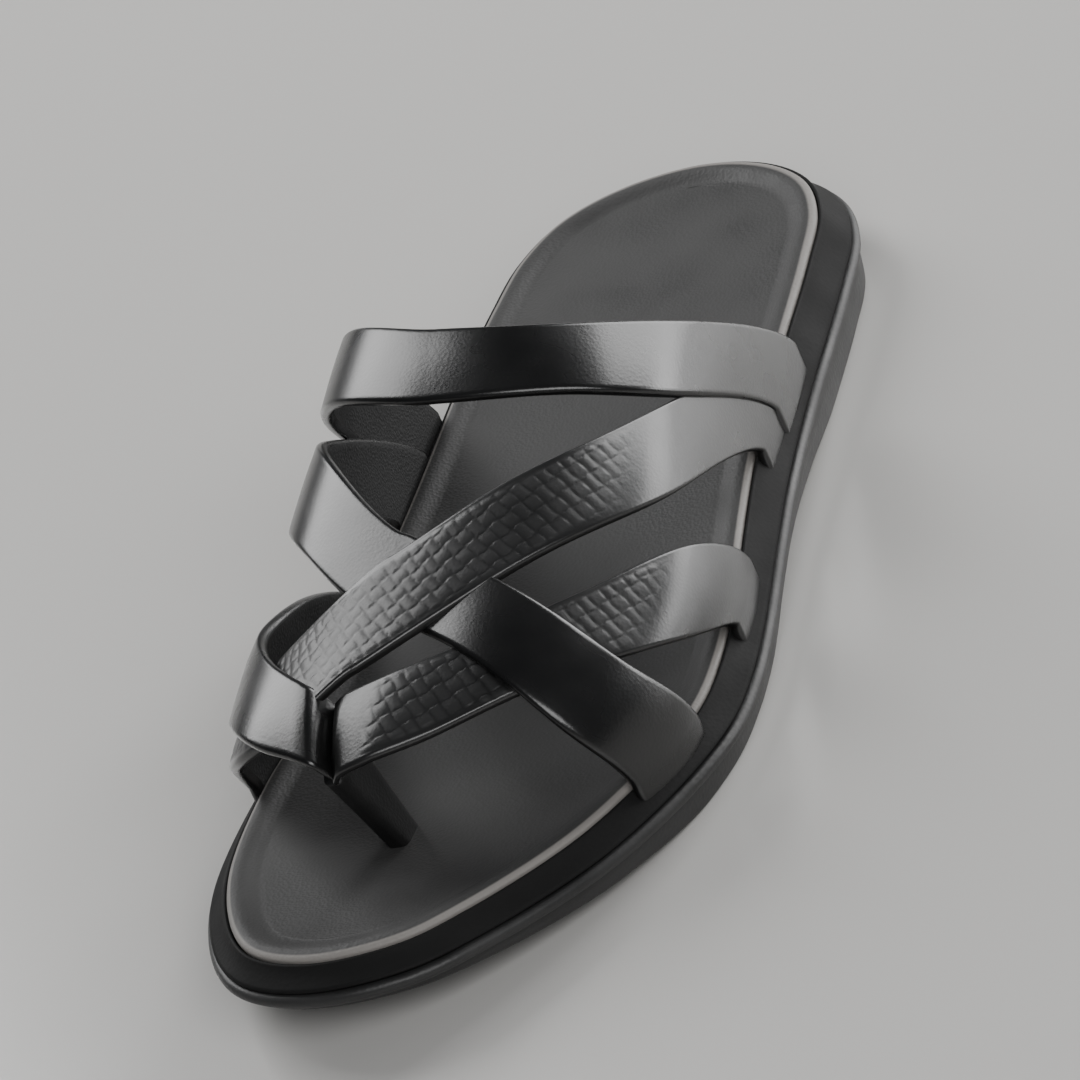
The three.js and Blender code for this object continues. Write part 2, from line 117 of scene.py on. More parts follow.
# Straps: degrees around, rear and front edge as fractions along, lift off the foot form,
# and on the front arms how many degrees the front edge runs ahead of the rear edge
INSTEP_BAND = np.array([
    (0, 0.305, 0.392, 1.0), (30, 0.392, 0.474, 3.2), (60, 0.457, 0.532, 2.2), (90, 0.496, 0.564, 0.8),
    (120, 0.484, 0.551, 0.6), (150, 0.416, 0.498, 1.4), (180, 0.290, 0.377, 1.0)])
DIAGONAL_BAND = np.array([
    (0, 0.660, 0.752, 0.0), (30, 0.722, 0.808, -3.0), (60, 0.744, 0.836, -2.2), (78, 0.726, 0.832, 0.2),
    (90, 0.699, 0.803, 2.0), (105, 0.656, 0.753, 2.5), (120, 0.614, 0.702, 2.2), (150, 0.497, 0.598, 0.4),
    (180, 0.322, 0.426, 0.0)])
CROSS_BAND = np.array([
    (0, 0.356, 0.452, 0.0), (30, 0.484, 0.575, 1.7), (60, 0.581, 0.666, 0.8), (90, 0.674, 0.746, -0.3),
    (115, 0.728, 0.797, 2.7), (150, 0.762, 0.832, 2.1), (180, 0.736, 0.820, 0.0)])
FRONT_OUTER_ARM = np.array([
    (87.8, 0.8180, 0.8800, -4.0, 5.0), (89.4, 0.8165, 0.8800, -1.7, 4.8), (91.8, 0.8135, 0.8795, -0.5, 4.3),
    (95.5, 0.8090, 0.8780, 0.4, 3.2), (100, 0.802, 0.874, 0.9, 2.0), (114, 0.769, 0.854, 0.2, 0.0),
    (136, 0.707, 0.798, 0.5, 0.0), (158, 0.628, 0.730, 1.6, 0.0), (170, 0.588, 0.682, 1.2, 0.0),
    (180, 0.553, 0.633, 0.0, 0.0)])
FRONT_INNER_ARM = np.array([
    (0, 0.527, 0.629, 0.0, 0.0), (23, 0.624, 0.732, -1.4, 0.0), (46, 0.713, 0.806, 0.8, 0.0),
    (69, 0.782, 0.855, 2.0, 2.0), (79, 0.8010, 0.8690, 2.1, 5.0), (83.5, 0.8085, 0.8755, 1.9, 6.3),
    (85.4, 0.8118, 0.8775, 1.1, 6.0), (86.8, 0.8140, 0.8785, -0.8, 5.5), (88.2, 0.816, 0.879, -4.0, 5.0)])

# A strap: thickness, gap to the footbed's edge, and how far outside that edge its middle stands
STRAP, STRAP_GAP = 2.4, 0.6
STRAP_SEAT = STRAP_GAP + STRAP / 2
# Ends on the rim: share of the wall's depth that they cover, and sections on the way down
TUCK, TUCK_SECTIONS = 0.95, 4
# Section of a strap: depth of its rounded edges, points round each, columns underneath, rise of its crown
EDGE_ROUND, EDGE_POINTS, UNDER_COLUMNS, CROWN = 1.0, 9, 13, 0.28
# Points on which a strap's length is measured
LENGTH_POINTS = 4000

# Groove between the front arms, where both turn down to the toe post: degrees around, its rear and front end
# as fractions along, degrees that the front end runs ahead, depth
GROOVE_AROUND, GROOVE_REAR, GROOVE_FRONT, GROOVE_TURN, GROOVE_DIP = 88.0, 0.817, 0.883, 5.0, 4.0
# Toe post: thickness, width at top and foot, power of its superellipse, levels and sides
POST_THICK, POST_TOP_WIDE, POST_FOOT_WIDE, POST_POWER = 4.8, 13.2, 8.0, 4
POST_LEVELS, POST_SIDES = 40, 48
# How far its foot lies behind and outside its top, its top behind the groove's middle and into the straps
POST_RAKE, POST_LEAN, POST_BACK, POST_OVERLAP = 5.2, 3.0, 0.4, 0.6

# Woven emboss: length and width of a cell, height of a strip, its height where it dives under as a share
CELL_LONG, CELL_WIDE, WEAVE_RELIEF, STRIP_END = 2.95, 3.8, 0.19, 0.2
# How far the sides of the lengthways and the crossways strips drop, and the power of that drop
LONG_SIDE, CROSS_SIDE, SIDE_POWER = 0.1, 0.5, 8
# Plain margin at the strap's edges, width over which the weave fades in, length that calms its direction
WEAVE_MARGIN, WEAVE_FADE, WEAVE_CALM = 1.5, 1.0, 9.0
# How strongly the emboss shows: degrees around, share
DIAGONAL_EMBOSS = np.array([(0, 1.0), (126, 1.0), (140, 0.0), (180, 0.0)])
FRONT_EMBOSS = np.array([(87.8, 0.0), (95, 0.0), (98, 1.0), (144, 1.0), (155, 0.0), (180, 0.0)])


# Curves and surfaces


def curve(at, value):
    """Cubic through (at, value) with harmonic-mean slopes, so it never overshoots; level past both ends."""
    step = np.diff(value) / np.diff(at)
    slope = np.empty(len(at))
    slope[0], slope[-1] = step[0], step[-1]
    product = step[:-1] * step[1:]
    total = step[:-1] + step[1:]
    slope[1:-1] = np.where(product > 0, 2 * product / np.where(total == 0, 1, total), 0)

    def evaluate(v):
        i = np.clip(np.searchsorted(at, v, side="right") - 1, 0, len(at) - 2)
        span = at[i + 1] - at[i]
        s = np.clip((v - at[i]) / span, 0, 1)
        return (value[i] * (2 * s**3 - 3 * s**2 + 1) + slope[i] * span * (s**3 - 2 * s**2 + s)
                + value[i + 1] * (3 * s**2 - 2 * s**3) + slope[i + 1] * span * (s**3 - s**2))

    return evaluate


def spline(at, value):
    """Natural cubic spline through (at, value).

    Its second derivatives come from a three-diagonal system and are zero at both ends.
    """
    step = np.diff(at)
    matrix = np.eye(len(at))
    right = np.zeros(len(at))
    inside = np.arange(1, len(at) - 1)
    matrix[inside, inside - 1] = step[:-1]
    matrix[inside, inside] = 2 * (step[:-1] + step[1:])
    matrix[inside, inside + 1] = step[1:]
    right[1:-1] = 6 * np.diff(np.diff(value) / step)
    bend = np.linalg.solve(matrix, right)

    def evaluate(v):
        i = np.clip(np.searchsorted(at, v, side="right") - 1, 0, len(at) - 2)
        a = (at[i + 1] - v) / step[i]
        b = 1 - a
        return (a * value[i] + b * value[i + 1]
                + ((a**3 - a) * bend[i] + (b**3 - b) * bend[i + 1]) * step[i]**2 / 6)

    return evaluate


inner_at, outer_at = [curve(OUTLINE[:, 0], OUTLINE[:, k]) for k in (1, 2)]
bottom_at, rim_at, wall_at, bed_at = [curve(SIDE[:, 0], SIDE[:, k]) for k in (1, 2, 3, 4)]
arch_at = curve(ARCH[:, 0], ARCH[:, 1])
crest_at = curve(CREST[:, 0], CREST[:, 1])


def ground_at(along):
    """Height of the sole's underside: the side table's bottom plus the lift of the waist."""
    return bottom_at(along) + ARCH_LIFT * arch_at(along)


def ridge_at(along):
    """Height of the outsole's top: the rim less the depth of the upper wall."""
    return rim_at(along) - wall_at(along)


def wall_foot_at(along):
    """Height of the midsole's underside: a gap above the outsole."""
    return ridge_at(along) + GAP


def wall_top_at(along):
    """Height of the midsole wall's top edge: a little under the rim."""
    return rim_at(along) - WALL_TOP_DOWN


def bed_floor_at(along):
    """Height of the tray's floor: the rim less the footbed's thickness."""
    return rim_at(along) - bed_at(along)


def seat_at(half_at, along):
    """Half width of the foot form at its base: the footbed's, plus the strap seat along the edge's normal."""
    slant = (half_at(along + ALONG_STEP) - half_at(along - ALONG_STEP)) / (2 * ALONG_STEP * BED)
    return half_at(along) + STRAP_SEAT * np.hypot(1, slant)


def form_point(around, along):
    """Superellipse arch over the footbed: across is |cos|^(2/p), height is |sin|^(2/p) times the crest."""
    angle = np.radians(np.clip(around, 0, 180))
    inner_x = -seat_at(inner_at, along)
    outer_x = seat_at(outer_at, along)
    middle = (inner_x + outer_x) / 2 + FORM_SHIFT
    reach = np.abs(np.cos(angle)) ** (2 / FORM_POWER)
    rise = np.abs(np.sin(angle)) ** (2 / FORM_POWER)
    side = np.where(np.cos(angle) > 0, inner_x, outer_x)
    return np.stack([
        middle + (side - middle) * reach, -along * BED, rim_at(along) + crest_at(along) * rise], -1)


def form_normal(around, along):
    """Outward unit normal of the foot form by central differences."""
    turn = np.clip(around, TURN_MARGIN, 180 - TURN_MARGIN)
    sideways = form_point(turn + TURN_STEP, along) - form_point(turn - TURN_STEP, along)
    forward = form_point(turn, along + ALONG_STEP) - form_point(turn, along - ALONG_STEP)
    normal = np.cross(forward, sideways)
    return normal / np.linalg.norm(normal, axis=-1, keepdims=True)


def outline_loop(stations):
    """The footbed's edge as a closed loop, forward on the inner side and back on the outer side.

    A centripetal Catmull-Rom curve through the table's points, the same number of steps on each side.
    Returns points (n, 2), outward normals (n, 2) and the fraction along of each point.
    """
    forward = np.stack([-OUTLINE[:, 1], -OUTLINE[:, 0] * BED], 1)
    back = np.stack([OUTLINE[1:-1, 2], -OUTLINE[1:-1, 0] * BED], 1)[::-1]
    ring = np.concatenate([forward, back])
    count = len(ring)
    toe = len(OUTLINE) - 1
    share = np.concatenate([np.linspace(0, toe, stations + 1), np.linspace(toe, count, stations + 1)[1:-1]])
    i = np.minimum(share.astype(int), count - 1)
    s = (share - i)[:, None]
    p0, p1, p2, p3 = [ring[(i + k) % count] for k in (-1, 0, 1, 2)]
    pairs = ((p0, p1), (p1, p2), (p2, p3))
    d0, d1, d2 = [np.sqrt(np.linalg.norm(b - a, axis=1, keepdims=True)) for a, b in pairs]
    t1 = ((p1 - p0) / d0 - (p2 - p0) / (d0 + d1) + (p2 - p1) / d1) * d1
    t2 = ((p2 - p1) / d1 - (p3 - p1) / (d1 + d2) + (p3 - p2) / d2) * d1
    points = (p1 * (2 * s**3 - 3 * s**2 + 1) + t1 * (s**3 - 2 * s**2 + s)
              + p2 * (3 * s**2 - 2 * s**3) + t2 * (s**3 - s**2))
    tangent = np.roll(points, -1, 0) - np.roll(points, 1, 0)
    tangent /= np.linalg.norm(tangent, axis=1, keepdims=True)
    normals = np.stack([tangent[:, 1], -tangent[:, 0]], 1)
    return points, normals, np.clip(-points[:, 1] / BED, 0, 1)


def run_length(line):
    """Distance travelled along a line of points, from 0 at its first point."""
    return np.concatenate([[0], np.cumsum(np.linalg.norm(np.diff(line, axis=0), axis=1))])


# Meshes


def make_object(name, points, faces, attributes=None, material_index=None):
    """A smooth mesh object at the origin from points in slipper millimetres, with its point attributes."""
    mesh = bpy.data.meshes.new(name)
    mesh.from_pydata((points + SHIFT) / MM_IN_M, [], faces)
    for key, values in (attributes or {}).items():
        layer = mesh.attributes.new(key, "FLOAT", "POINT")
        layer.data.foreach_set("value", np.asarray(values, dtype=np.float32).ravel())
    mesh.polygons.foreach_set("use_smooth", np.ones(len(mesh.polygons), dtype=bool))
    if material_index is not None:
        mesh.polygons.foreach_set("material_index", np.asarray(material_index, dtype=np.int32))
    mesh.update()
    piece = bpy.data.objects.new(name, mesh)
    bpy.context.collection.objects.link(piece)
    return piece


def tube_faces(rows, around):
    """Quads between successive closed loops of a rows by around grid of points."""
    r, k = np.meshgrid(np.arange(rows - 1), np.arange(around), indexing="ij")
    a = r * around + k
    b = r * around + (k + 1) % around
    return np.stack([a, b, b + around, a + around], -1).reshape(-1, 4)


def closed_tube_faces(rows, around):
    """The quads of a tube, and one face across each end."""
    ends = [list(range(around))[::-1], list(range((rows - 1) * around, rows * around))]
    return tube_faces(rows, around).tolist() + ends


def ladder(ring, start, columns, count, up):
    """Grid across a loop from its inner to its outer side, each row at one station.

    start is the number of the loop's first point and of the first new point. Returns the new points between
    the two sides, the across coordinate (-1 to 1) of each, and the faces, which use the loop's own points at
    both sides and close heel and toe with triangles.
    """
    stations = count // 2
    row = np.arange(1, stations)
    inner = ring[row]
    outer = ring[count - row]
    share = np.arange(1, columns) / columns
    points = inner[:, None] + (outer - inner)[:, None] * share[None, :, None]
    across = np.broadcast_to(2 * share - 1, points.shape[:2])
    index = np.empty((stations - 1, columns + 1), dtype=int)
    index[:, 0] = start[0] + row
    index[:, -1] = start[0] + count - row
    index[:, 1:-1] = start[1] + np.arange(points.shape[0] * points.shape[1]).reshape(points.shape[:2])
    quads = np.stack([index[:-1, :-1], index[:-1, 1:], index[1:, 1:], index[1:, :-1]], -1).reshape(-1, 4)
    ends = [np.stack([np.full(columns, tip), line[:-1], line[1:]], -1)
            for tip, line in ((start[0], index[0][::-1]), (start[0] + stations, index[-1]))]
    triangles = np.concatenate(ends)
    if up:
        quads, triangles = quads[:, ::-1], triangles[:, ::-1]
    return points.reshape(-1, 3), across.ravel(), quads.tolist() + triangles.tolist()


def sole_body(name, profile, stations, columns, dish_floor=None, dish_top=None):
    """A closed body round the shoe: one ring for each (distance outside the outline, height) of its profile.

    Grids close the first and the last ring, and the dish functions of (along, across) add to their heights.
    Point attribute edge_share is the distance inside the outline in cm, less toward the heel.
    """
    edge, normals, along = outline_loop(stations)
    count = len(edge)
    rings = [np.column_stack([edge + out * normals, height(along)]) for out, height in profile]
    points = np.concatenate(rings)
    faces = tube_faces(len(rings), count).tolist()
    inset = np.repeat([-out for out, _ in profile], count)
    for ring_number, dish, up in ((0, dish_floor, False), (len(rings) - 1, dish_top, True)):
        start = (ring_number * count, len(points))
        added, across, cap = ladder(rings[ring_number], start, columns, count, up)
        if dish is not None:
            added[:, 2] += dish(np.clip(-added[:, 1] / BED, 0, 1), across)
        points = np.concatenate([points, added])
        faces += cap
        inset = np.concatenate([inset, np.full(len(added), CAP_INSET - profile[ring_number][0])])
    near_heel = np.clip((HEEL_EDGE + points[:, 1] / BED) / HEEL_EDGE, 0, 1)
    return make_object(name, points, faces, {"edge_share": inset / MM_IN_CM * (1 - HEEL_LESS * near_heel)})


# Straps as meshes


def weave(s, w, tilt):
    """Basket weave over length s and width w: strips along the strap over and under strips across it.

    In each cell one strip lies on top, every other cell the lengthways one. Its height falls as a cosine
    toward the cell's ends, where it dives under its neighbours, and drops at its sides, more on the crossways
    strips. The whole is turned by tilt degrees.
    """
    turn = math.radians(tilt)
    along = (s * math.cos(turn) + w * math.sin(turn)) / CELL_LONG
    across = (w * math.cos(turn) - s * math.sin(turn)) / CELL_WIDE
    column, row = np.floor(along), np.floor(across)
    u = 2 * (along - column) - 1
    v = 2 * (across - row) - 1
    lengthways = (column + row) % 2 == 0
    run = np.where(lengthways, u, v)
    side = np.where(lengthways, v, u)
    drop = np.where(lengthways, LONG_SIDE, CROSS_SIDE)
    return (STRIP_END + (1 - STRIP_END) * np.cos(0.5 * np.pi * run)) * (1 - drop * side**SIDE_POWER)


def strap_stations(middle_at, lift_at, first, last, step):
    """Degrees around of each section, and how far down the wall it lies as a share of the wall's depth.

    Sections are step mm apart along the lifted middle line. An end on the rim goes on straight down the wall.
    """
    fine = np.linspace(first, last, LENGTH_POINTS)
    middle = middle_at(fine)
    travelled = run_length(form_point(fine, middle) + lift_at(fine)[:, None] * form_normal(fine, middle))
    around = np.interp(np.linspace(0, travelled[-1], int(travelled[-1] / step) + 1), travelled, fine)
    drop = np.zeros(len(around))
    down = TUCK * np.linspace(1, 0, TUCK_SECTIONS + 1)[:-1]
    if first == 0:
        around = np.concatenate([np.zeros(TUCK_SECTIONS), around])
        drop = np.concatenate([down, drop])
    if last == 180:
        around = np.concatenate([around, np.full(TUCK_SECTIONS, 180.0)])
        drop = np.concatenate([drop, down[::-1]])
    return around, drop


def strap_section(top_columns):
    """A strap's closed section: over the upper face, round the front edge, back under, round the rear edge.

    Each edge is half an ellipse, EDGE_ROUND deep. Returns for each point the share of the way from the rear
    to the front edge, its move along the foot that draws it in, its height, and 1 on the upper face.
    """
    half = STRAP / 2
    arc = np.radians(np.linspace(90, -90, EDGE_POINTS))[1:-1]
    edge_in = EDGE_ROUND * (1 - np.cos(arc))
    edge_height = half * np.sin(arc)
    top = np.linspace(0, 1, top_columns)
    under = np.linspace(1, 0, UNDER_COLUMNS)
    share = np.concatenate([top, np.ones(len(arc)), under, np.zeros(len(arc))])
    inward = np.concatenate([EDGE_ROUND * (1 - 2 * top), -edge_in, EDGE_ROUND * (1 - 2 * under), edge_in])
    height = np.concatenate([
        np.full(top_columns, half), edge_height, np.full(UNDER_COLUMNS, -half), edge_height[::-1]])
    is_top = (np.arange(len(share)) < top_columns).astype(float)
    return share, inward, height, is_top


def unroll(base, centre, normal, step):
    """Length along and width across a strap of each point, which the weave is laid out on.

    A point's way from the centre of its section is split into its part along the strap's direction and its
    part across. The direction is that of the middle line, averaged over WEAVE_CALM mm to each side.
    """
    tangent = np.gradient(centre, axis=0)
    reach = int(WEAVE_CALM / step)
    window = 2 * reach + 1
    padded = np.pad(tangent, ((reach, reach), (0, 0)), mode="edge")
    even = np.ones(window) / window
    tangent = np.stack([np.convolve(padded[:, k], even, mode="valid") for k in range(3)], 1)
    tangent /= np.linalg.norm(tangent, axis=1, keepdims=True)
    across = np.cross(normal, tangent)
    across /= np.linalg.norm(across, axis=1, keepdims=True)
    offset = base - centre[:, None]
    s = run_length(centre)[:, None] + (offset * tangent[:, None]).sum(-1)
    w = (offset * across[:, None]).sum(-1)
    return s, w


def strap_piece(name, rows, step, top_columns, emboss=None, tilt=0.0):
    """A strap from its table: the closed section carried over the foot form, a section every step mm.

    The upper face has a low crown, and the emboss table raises a weave on it. Point attribute woven says how
    strongly the weave shows, and hollow how far a point lies below the top of its strips, which the woven
    leather uses to paint shade into the pits. The second material is underneath.
    """
    at = rows[:, 0]
    front_arm = rows.shape[1] > 4
    rear_at, front_at = [spline(at, rows[:, k]) for k in (1, 2)]
    lift_at = curve(at, rows[:, 3]) if front_arm else spline(at, rows[:, 3])

    def middle_at(around):
        return (rear_at(around) + front_at(around)) / 2

    around, drop = strap_stations(middle_at, lift_at, at[0], at[-1], step)
    share, inward, height, is_top = strap_section(top_columns)
    rear = rear_at(around)[:, None]
    front = front_at(around)[:, None]
    along = rear + (front - rear) * share + inward / BED
    turned = np.broadcast_to(around[:, None], along.shape)
    if front_arm:
        turned = turned + curve(at, rows[:, 4])(around)[:, None] * (share - 0.5)
    base = form_point(turned, along)
    base[:, :, 2] -= drop[:, None] * wall_at(along)
    middle = middle_at(around)
    centre = form_point(around, middle)
    centre[:, 2] -= drop * wall_at(middle)
    s, w = unroll(base, centre, form_normal(around, middle), step)
    half_width = np.abs(w).max(1, keepdims=True)
    crown = CROWN * (1 - (w / half_width) ** 2) * is_top
    woven = np.zeros(w.shape)
    if emboss is not None:
        margin = np.clip((half_width - np.abs(w) - WEAVE_MARGIN) / WEAVE_FADE, 0, 1)
        woven = curve(emboss[:, 0], emboss[:, 1])(around)[:, None] * margin * is_top
    raised = weave(s, w, tilt) * woven
    lift = lift_at(around)[:, None] + height + crown + WEAVE_RELIEF * raised
    points = base + form_normal(turned, along) * lift[:, :, None]
    sections, loop = along.shape
    column = np.arange(loop)
    underneath = (column >= top_columns + EDGE_POINTS - 1) & (column < loop - EDGE_POINTS + 1)
    material_index = np.concatenate([np.tile(underneath, sections - 1), [0, 0]])
    return make_object(name, points.reshape(-1, 3), closed_tube_faces(sections, loop),
                       {"hollow": woven - raised, "woven": woven}, material_index)


# Shader building blocks

# Mottling values between which colour and roughness go from one end to the other
MOTTLE_LOW, MOTTLE_HIGH = 0.3, 0.7
# Depth of the grain in metres, and roughness of the polish
GRAIN_DEEP, POLISH_ROUGH = 0.0004, 0.18
# Grain: share of the pores, noise detail of pores and waves
PORE_SHARE, PORE_DETAIL, WAVE_DETAIL = 0.5, 3.0, 2.0
BLACK, WHITE = (0, 0, 0), (1, 1, 1)


def new_group(name, inputs, outputs):
    """An empty shader node group with its named sockets, and its input and output nodes."""
    group = bpy.data.node_groups.new(name, "ShaderNodeTree")
    for label, kind, default in inputs:
        socket = group.interface.new_socket(label, in_out="INPUT", socket_type=kind)
        socket.default_value = default
    for label, kind in outputs:
        group.interface.new_socket(label, in_out="OUTPUT", socket_type=kind)
    return group, group.nodes.new("NodeGroupInput"), group.nodes.new("NodeGroupOutput")


def grain_group():
    """Leather grain, with scales in cells per metre.

    Height is the distance from the cells' centres plus a share of the pores plus Wave times a soft noise.
    Mottle is that soft noise alone.
    """
    group, source, sink = new_group(
        "leather_grain",
        [("Scale", "NodeSocketFloat", 900.0), ("Soft scale", "NodeSocketFloat", 60.0),
         ("Wave", "NodeSocketFloat", 0.0)],
        [("Height", "NodeSocketFloat"), ("Mottle", "NodeSocketFloat")])
    nodes, links = group.nodes, group.links
    place = nodes.new("ShaderNodeTexCoord")
    cells = nodes.new("ShaderNodeTexVoronoi")
    cells.feature = "F1"
    pores = nodes.new("ShaderNodeTexNoise")
    pores.inputs["Detail"].default_value = PORE_DETAIL
    soft = nodes.new("ShaderNodeTexNoise")
    soft.inputs["Detail"].default_value = WAVE_DETAIL
    for node in (cells, pores, soft):
        links.new(place.outputs["Object"], node.inputs["Vector"])
    links.new(source.outputs["Scale"], cells.inputs["Scale"])
    links.new(source.outputs["Scale"], pores.inputs["Scale"])
    links.new(source.outputs["Soft scale"], soft.inputs["Scale"])
    mix = nodes.new("ShaderNodeMath")
    mix.operation = "MULTIPLY_ADD"
    mix.inputs[1].default_value = PORE_SHARE
    links.new(pores.outputs["Fac"], mix.inputs[0])
    links.new(cells.outputs["Distance"], mix.inputs[2])
    waves = nodes.new("ShaderNodeMath")
    waves.operation = "MULTIPLY_ADD"
    links.new(soft.outputs["Fac"], waves.inputs[0])
    links.new(source.outputs["Wave"], waves.inputs[1])
    links.new(mix.outputs[0], waves.inputs[2])
    links.new(waves.outputs[0], sink.inputs["Height"])
    links.new(soft.outputs["Fac"], sink.inputs["Mottle"])
    return group


GRAIN = grain_group()


def ramp(nodes, low, high):
    """A colour ramp between two stops, each (position, colour)."""
    node = nodes.new("ShaderNodeValToRGB")
    for element, (position, colour) in zip(node.color_ramp.elements, (low, high)):
        element.position = position
        element.color = (*colour, 1)
    return node


def grey(value, warm=0.0):
    """A grey, with red raised and blue lowered by the share warm."""
    return (value * (1 + warm), value, value * (1 - warm))


def leather(name, colours, roughness, grain, bump, coat=0.0, specular=0.5, wave=0.0, attribute=None,
            woven_rough=0.0):
    """Grained leather or rubber, whose mottling takes colour and roughness from their first to second value.

    grain is in cells per metre, and bump is its strength.
    attribute is (name, stops, colour): a ramp over a point attribute that says where the colour takes over.
    The surface is rougher by woven_rough where the point attribute woven is 1.
    """
    material = bpy.data.materials.new(name)
    material.use_nodes = True
    nodes, links = material.node_tree.nodes, material.node_tree.links
    shader = nodes["Principled BSDF"]
    shader.inputs["Specular IOR Level"].default_value = specular
    shader.inputs["Coat Weight"].default_value = coat
    shader.inputs["Coat Roughness"].default_value = POLISH_ROUGH
    surface = nodes.new("ShaderNodeGroup")
    surface.node_tree = GRAIN
    surface.inputs["Scale"].default_value = grain
    surface.inputs["Wave"].default_value = wave
    colour = ramp(nodes, (MOTTLE_LOW, colours[0]), (MOTTLE_HIGH, colours[1]))
    links.new(surface.outputs["Mottle"], colour.inputs["Fac"])
    base_colour = colour.outputs["Color"]
    if attribute:
        key, stops, other_colour = attribute
        read = nodes.new("ShaderNodeAttribute")
        read.attribute_name = key
        where = ramp(nodes, *stops)
        mix = nodes.new("ShaderNodeMix")
        mix.data_type = "RGBA"
        mix.inputs["B"].default_value = (*other_colour, 1)
        links.new(read.outputs["Fac"], where.inputs["Fac"])
        links.new(where.outputs["Color"], mix.inputs["Factor"])
        links.new(base_colour, mix.inputs["A"])
        base_colour = mix.outputs["Result"]
    links.new(base_colour, shader.inputs["Base Color"])
    rough = nodes.new("ShaderNodeMapRange")
    rough.inputs["From Min"].default_value = MOTTLE_LOW
    rough.inputs["From Max"].default_value = MOTTLE_HIGH
    rough.inputs["To Min"].default_value = roughness[0]
    rough.inputs["To Max"].default_value = roughness[1]
    links.new(surface.outputs["Mottle"], rough.inputs["Value"])
    rough_value = rough.outputs["Result"]
    if woven_rough:
        woven = nodes.new("ShaderNodeAttribute")
        woven.attribute_name = "woven"
        rougher = nodes.new("ShaderNodeMath")
        rougher.operation = "MULTIPLY_ADD"
        rougher.inputs[1].default_value = woven_rough
        links.new(woven.outputs["Fac"], rougher.inputs[0])
        links.new(rough_value, rougher.inputs[2])
        rough_value = rougher.outputs[0]
    links.new(rough_value, shader.inputs["Roughness"])
    normal = nodes.new("ShaderNodeBump")
    normal.inputs["Strength"].default_value = bump
    normal.inputs["Distance"].default_value = GRAIN_DEEP
    links.new(surface.outputs["Height"], normal.inputs["Height"])
    links.new(normal.outputs["Normal"], shader.inputs["Normal"])
    return material


plain_leather = leather(
    "polished_black_leather", colours=(grey(0.004), grey(0.007)), roughness=(0.25, 0.31), grain=1300,
    bump=0.05, coat=0.2, specular=0.65, wave=3.0)
# Woven leather: its colour goes down to near black in the weave's hollows, painted shade in the pits
woven_leather = leather(
    "woven_black_leather", colours=(grey(0.011), grey(0.016)), roughness=(0.27, 0.33), grain=1300,
    bump=0.05, coat=0.15, specular=0.65, wave=3.0,
    attribute=("hollow", [(0.15, BLACK), (0.7, WHITE)], grey(0.0015)), woven_rough=0.14)
lining = leather(
    "black_lining", colours=(grey(0.010), grey(0.016)), roughness=(0.62, 0.78), grain=1500, bump=0.25)
post_leather = leather(
    "post_leather", colours=(grey(0.007), grey(0.011)), roughness=(0.46, 0.56), grain=1400, bump=0.10)
bed_leather = leather(
    "grey_footbed_leather", colours=(grey(0.041, 0.01), grey(0.051, 0.01)), roughness=(0.52, 0.66),
    grain=1300, bump=0.18, attribute=("edge_share", [(0.09, WHITE), (0.13, BLACK)], grey(0.24, 0.06)))
wall_rubber = leather(
    "sole_wall", colours=(grey(0.006), grey(0.010)), roughness=(0.62, 0.74), grain=900, bump=0.10,
    specular=0.18)
sole_rubber = leather(
    "sole_rubber", colours=(grey(0.020), grey(0.032)), roughness=(0.42, 0.55), grain=900, bump=0.12)


def dress(piece, node, slot, *materials):
    """Gives a piece its materials and body, and lets it stand for a node of the solids. The slot is not used.
    """
    for material in materials:
        piece.data.materials.append(material)
    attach(piece, "root")
    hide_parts(node)


# Sole


def arc_rings(out, height_at, radius, start, end, steps):
    """Rings on a rounding: (distance out, height) on an arc from start to end degrees round (out, height)."""
    angles = np.radians(np.linspace(start, end, steps))
    return [(out + radius * math.cos(a), lambda t, a=a: height_at(t) + radius * math.sin(a)) for a in angles]


def ridge_foot_at(along):
    """Height of the lower end of the ridge's rounding."""
    return ridge_at(along) - 2 * RIDGE_ROUND


def tread(along, across):
    """Shallow grooves under the sole: a clipped cosine along it, bent to a chevron, fading near the edge."""
    wave = np.cos(2 * np.pi * (along * BED / TREAD_PITCH + TREAD_SWEEP * np.abs(across)))
    side_fade = np.clip((1 - np.abs(across)) / TREAD_SIDE_FADE, 0, 1)
    end_fade = np.clip(np.minimum(along, 1 - along) / TREAD_END_FADE, 0, 1)
    return TREAD_DEEP * np.clip((wave - TREAD_START) / TREAD_RISE, 0, 1) * side_fade * end_fade


def wall_ring(level):
    """A ring on the midsole's wall: on the line from foot to top at a level 0 to 1, less a half sine."""
    out = WALL_FOOT_OUT + (WALL_TOP_OUT - WALL_FOOT_OUT) * level - WALL_HOLLOW * math.sin(math.pi * level)

    def height_at(along):
        low = wall_foot_at(along) + WALL_ROUND
        return low + (wall_top_at(along) - low) * level

    return out, height_at


outsole_profile = [
    *arc_rings(FOOT_OUT - FOOT_ROUND, lambda t: ground_at(t) + FOOT_ROUND, FOOT_ROUND, -90, 0, FOOT_POINTS),
    (FOOT_OUT + SIDE_BULGE,
     lambda t: ground_at(t) * (1 - SIDE_LEVEL) + ridge_foot_at(t) * SIDE_LEVEL + SIDE_RISE),
    (RIDGE_OUT - RIDGE_ROUND - FOLD_IN, lambda t: ridge_foot_at(t) - FOLD_DOWN),
    *arc_rings(
        RIDGE_OUT - RIDGE_ROUND, lambda t: ridge_at(t) - RIDGE_ROUND, RIDGE_ROUND, -80, 90, RIDGE_POINTS)]
outsole = sole_body("outsole_body", outsole_profile, stations=360, columns=48, dish_floor=tread)
dress(outsole, "outsole", "outsole", sole_rubber)

